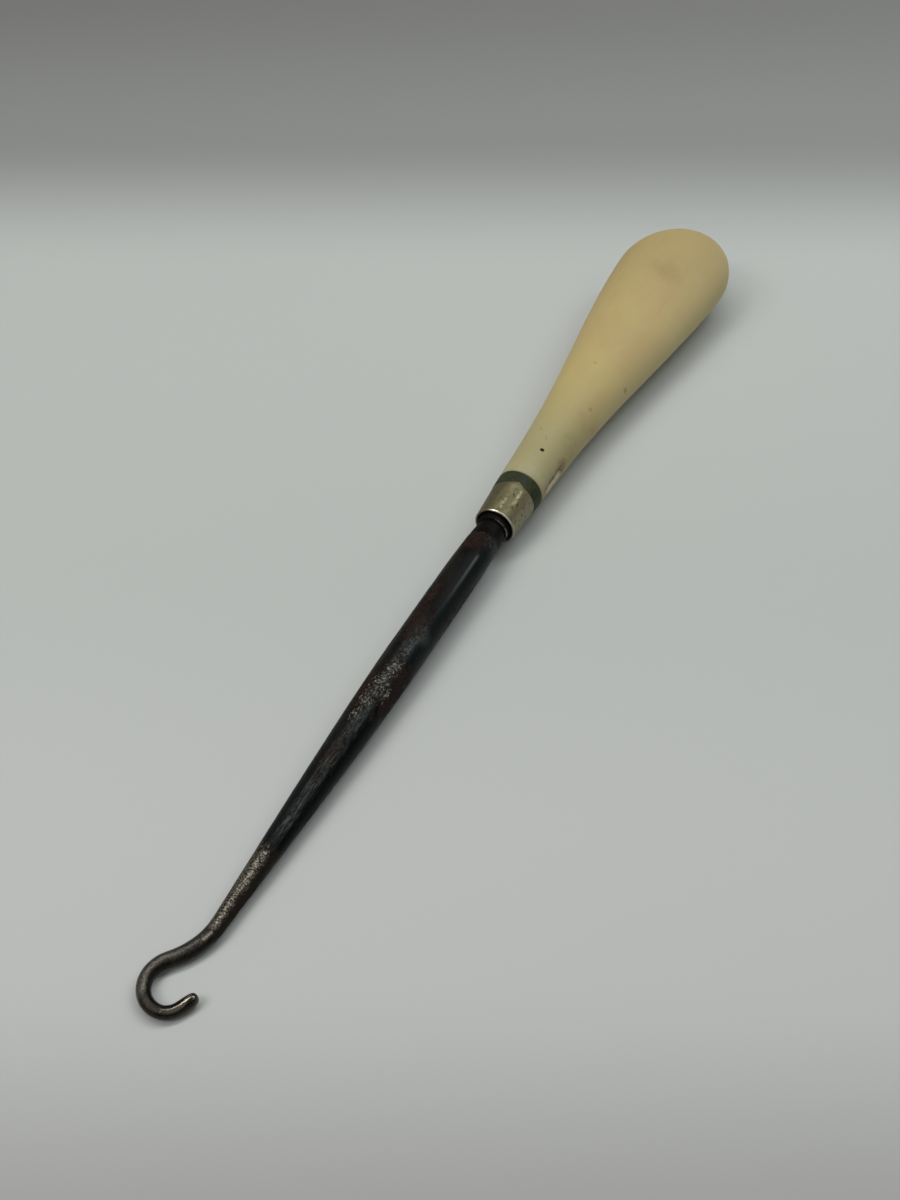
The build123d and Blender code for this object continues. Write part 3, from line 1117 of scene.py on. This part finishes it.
# The neck is smooth as far as a ragged edge. One side of the collar's rim is painted bright,
# a painted highlight, and the groove behind the neck is painted near black, painted shade.
neck_edge = sums("ADD", along, share_of(grit, 0.9))
neck = between(neck_edge, neck_end + 0.60, neck_end + 0.35)
neck_colour = tint(between(tones, 0.4, 0.6), paint(9, 8, 7), paint(16, 13, 12))
colour = tint(neck, colour, neck_colour)
crust_edge = gap_to(neck_edge, neck_end + 0.62)
crust_edge = both(between(crust_edge, 0.30, 0.10), between(fine, 0.46, 0.56))
crust_specks = both(spot_at((105.9, 2.3, 1.3), 0.4, 2.4), between(fine, 0.50, 0.60))
colour = coat(colour, crust_specks, 0.6, paint(92, 95, 98))
colour = coat(colour, crust_edge, 0.5, paint(74, 63, 55))
collar_rim = 101.08
collar = between(along, collar_rim + 0.04, collar_rim)
colour = tint(collar, colour, paint(17, 14, 13))
rim_highlight = both(between(along, 100.88, 100.95), between(along, collar_rim, collar_rim - 0.05))
rim_highlight = both(rim_highlight, between(turn, 0.15, 0.40))
rim_highlight = both(rim_highlight, between(turn, 2.4, 1.9))
rim_highlight = both(rim_highlight, between(fine, 0.42, 0.54))
colour = coat(colour, rim_highlight, 0.85, paint(150, 146, 140))
groove_shade = both(between(along, collar_rim, collar_rim + 0.06), between(along, 101.48, 101.38))
colour = tint(groove_shade, colour, paint(8, 7, 6))
feed("Base Color", colour)
bright = either(glints, rim_highlight)
bright = either(bright, either(bare, crook_part))
bright = either(bright, either(highlight_line, highlight_streaks))
metal = both(share_of(bright, 0.85), sums("SUBTRACT", 1.0, groove_shade))
feed("Metallic", metal)
polish = ranged(tones, 0.38, 0.48)
polish = sums("SUBTRACT", polish, share_of(blue_shaded_side, 0.12))
polish = sums("ADD", polish, share_of(neck, 0.15))
polish = sums("SUBTRACT", polish, share_of(crook_part, 0.14))
shader.inputs["Specular IOR Level"].default_value = 0.065
dull_rust = both(rust, sums("SUBTRACT", 1.0, bright))
polish = sums("ADD", polish, share_of(dull_rust, 0.34), clamp=True)
polish = either(polish, share_of(groove_shade, 0.9))
feed("Roughness", polish)
pitted = both(between(turn, 0.48, 0.30), between(along, 116.0, 126.0))
skin = relief(fine, 0.02)
skin = relief(both(pitted, fine), 0.05, skin)
skin = relief(both(rust, grit), 0.10, skin)
feed("Normal", skin)
hook.data.materials.append(steel)
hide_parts("hook")
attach(hook, "root")

# ---- Cement -----------------------------------------------------------------
# Dark shellac cement, poured warm into the bore and the ferrule, that holds
# the tang. Only its front face shows, deep in the ferrule's mouth.

pitch, tree, shader = start_finish("shellac_cement")
place = tool_place()
lumps = mottle(0.8, detail=5.0, roughness=0.65)
colour = tint(between(lumps, 0.35, 0.65), paint(40, 28, 18), paint(66, 48, 30))
feed("Base Color", colour)
feed("Roughness", ranged(lumps, 0.55, 0.85))
feed("Normal", relief(lumps, 0.08))
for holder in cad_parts["cement"].material_slots:
    holder.material = pitch

# ---- Floor ------------------------------------------------------------------
# A pale table top, painted darker far behind the tool, paler just before it and darker further before it:
# painted light falloff and painted shade.

bpy.ops.object.select_all(action="DESELECT")
bpy.ops.mesh.primitive_plane_add(size=4.0, location=(0, 0, cad_low.z))
floor = bpy.context.object
floor.name = "table_top"
bpy.ops.object.transform_apply(location=True, rotation=True, scale=True)
table, tree, shader = start_finish("pale_table")
spot = step("ShaderNodeTexCoord", {}).outputs["Object"]
far_way = Vector((-0.896, -0.444, 0.0))
behind = vector_step("DOT_PRODUCT", spot, far_way).outputs["Value"]
colour = tint(between(behind, 0.092, 0.158), paint(187, 191, 188), paint(141, 143, 141))
colour = tint(between(behind, 0.150, 0.260), colour, paint(127, 128, 127))
colour = tint(between(behind, 0.0, -0.07), colour, paint(193, 196, 194))
colour = tint(between(behind, -0.082, -0.122), colour, paint(166, 166, 166))
feed("Base Color", colour)
shader.inputs["Roughness"].default_value = 0.7
shader.inputs["Specular IOR Level"].default_value = 0.2
floor.data.materials.append(table)

# ---- Light ------------------------------------------------------------------
# Two long soft boxes and two square ones hang level over the table, behind the
# tool, before it and at its side, in an even grey room.

box_height = 0.55


def soft_box(name, across, along, turned, length, width, power, colour):
    """A soft box that faces straight down, its long side turned from +X."""
    box = bpy.data.lights.new(name, "AREA")
    box.shape = "RECTANGLE"
    box.size = length
    box.size_y = width
    box.energy = power
    box.color = colour
    hung = bpy.data.objects.new(name, box)
    hung.location = (across, along, box_height)
    hung.rotation_euler = (0, 0, radians(turned))
    bpy.context.scene.collection.objects.link(hung)


# Place, turn, length, width, power and colour of each box.
soft_box("rear_box", -0.42, 0.31, -37.0, 0.55, 0.10, 1.4, (0.90, 0.97, 1.0))
soft_box("middle_box", -0.16, -0.07, -39.0, 0.76, 0.11, 1.86, (1.0, 0.99, 0.97))
soft_box("front_box", 0.45, -0.33, 0.0, 0.40, 0.40, 2.35, (1.0, 0.99, 0.97))
soft_box("side_box", -0.05, 0.50, 0.0, 0.30, 0.30, 0.35, (1.0, 1.0, 0.98))
room = bpy.data.worlds.new("grey_room")
room.use_nodes = True
room.node_tree.nodes["Background"].inputs["Color"].default_value = (1.0, 0.98, 0.94, 1.0)
room.node_tree.nodes["Background"].inputs["Strength"].default_value = 0.135
bpy.context.scene.world = room
bpy.context.scene.view_settings.view_transform = "Standard"

# ---- Camera -----------------------------------------------------------------
# It looks down on the tool from beyond the crook's side, as a person holding
# it at the table would.

camera = bpy.data.cameras.new("table_view")
camera.lens = 41.19
camera.sensor_width = 36
camera.clip_start = 0.005
eye = bpy.data.objects.new("table_view", camera)
eye.location = (0.1621, 0.0712, 0.1564)
eye.rotation_euler = (radians(46.36), 0, radians(116.38))
bpy.context.scene.collection.objects.link(eye)
bpy.context.scene.camera = eye
